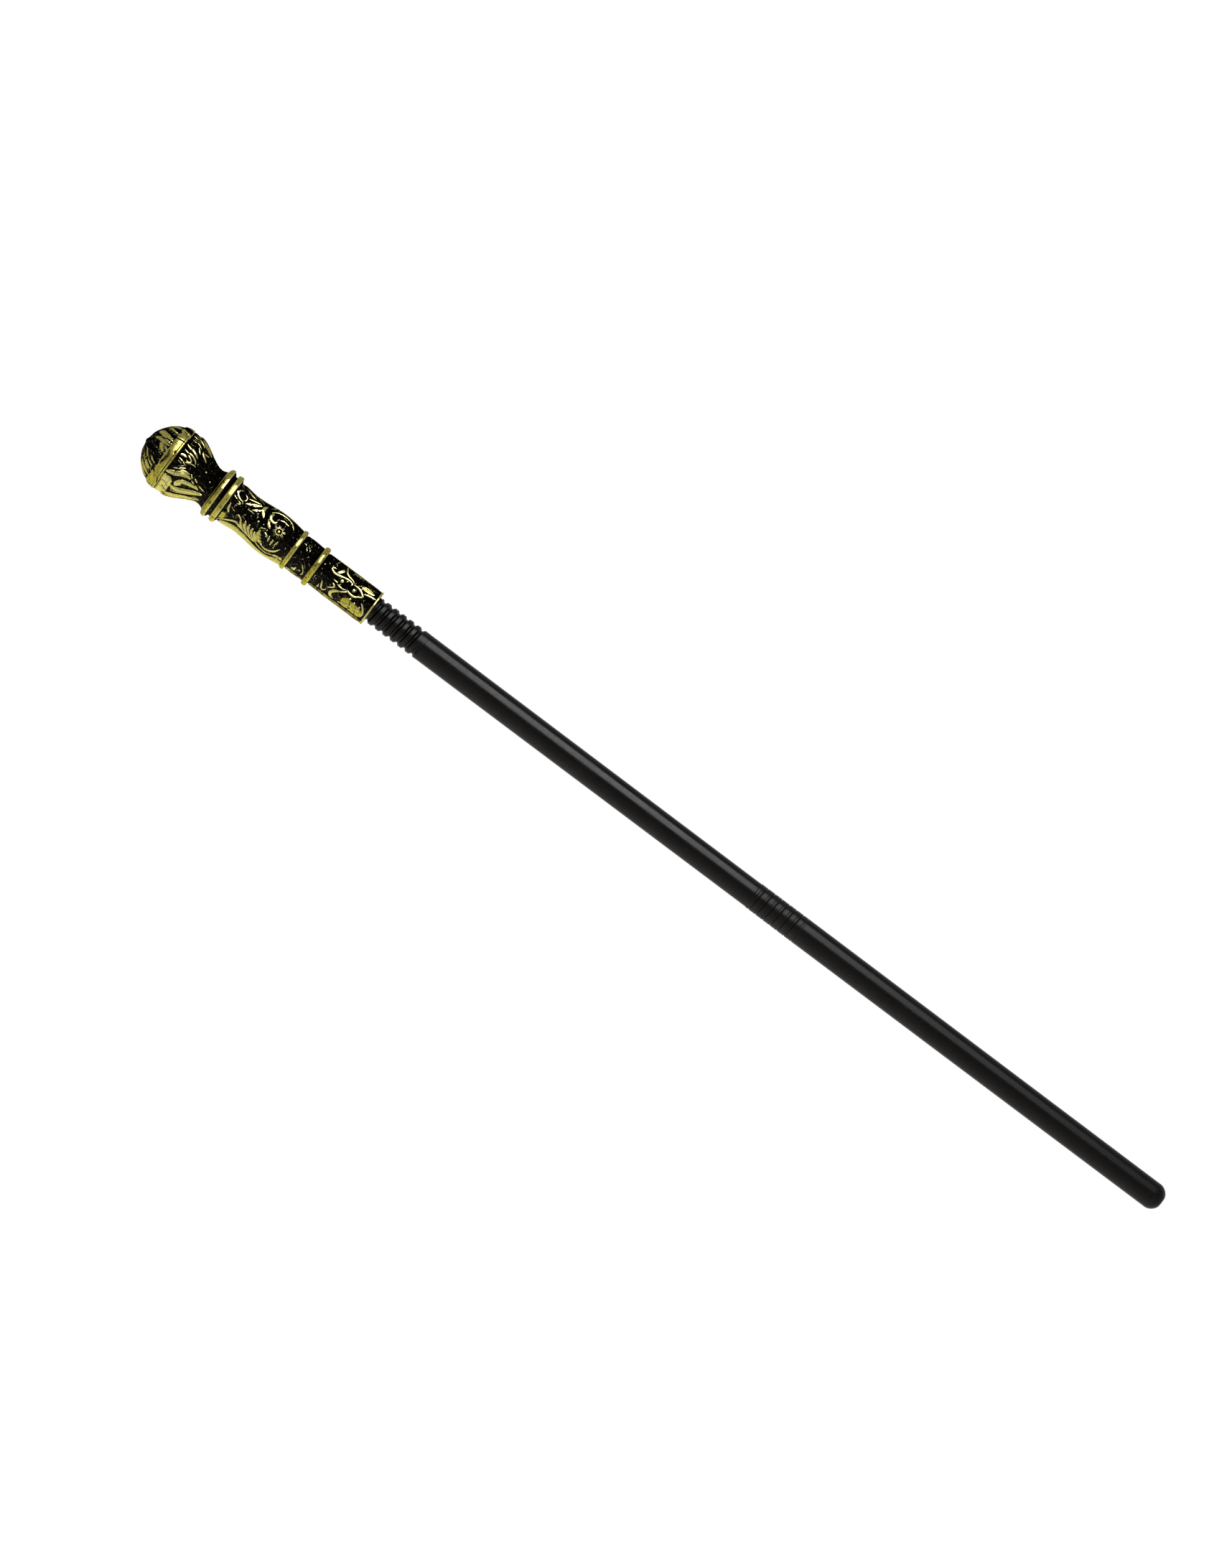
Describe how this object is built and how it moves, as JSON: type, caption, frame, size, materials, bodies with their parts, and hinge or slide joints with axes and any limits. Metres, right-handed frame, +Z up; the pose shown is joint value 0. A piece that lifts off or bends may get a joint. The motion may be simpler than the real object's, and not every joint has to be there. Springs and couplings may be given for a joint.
{
  "type": "walking stick",
  "caption": "Straight dress walking stick with a ball-knob handle in gold with leaf relief, and two plain black shafts that screw together under a spiral neck and a grooved collar.",
  "frame": {"origin": "centre of the small flat under the tip, which is the lowest point of the stick", "axes": "+Z up the stick's axis from the tip to the knob; -Y towards the front half of the handle; +X along the plane where the handle's two halves meet"},
  "size_m": [0.0508, 0.0508, 0.9],
  "materials": {
    "handle_gold": "moulded plastic, antique gold over near-black patina in the hollows, satin gloss",
    "fitting_black": "satin black moulded plastic",
    "shaft_black": "satin black tube"
  },
  "bodies": {
    "handle": {"knob_cap": "handle_gold", "handle_front_shell": "handle_gold", "handle_rear_shell": "handle_gold", "handle_bush": "fitting_black"},
    "upper_shaft": {"neck_screw": "fitting_black", "upper_tube": "shaft_black", "joint_screw": "fitting_black"},
    "lower_shaft": {"joint_collar": "fitting_black", "lower_tube": "shaft_black", "tip_plug": "fitting_black"}
  },
  "joints": [
    {"name": "handle_joint", "type": "slide", "parent": "handle", "child": "upper_shaft", "axis": [0, 0, -1], "range_m": [0, 0.042]},
    {"name": "shaft_joint", "type": "slide", "parent": "upper_shaft", "child": "lower_shaft", "axis": [0, 0, -1], "range_m": [0, 0.04]}
  ]
}
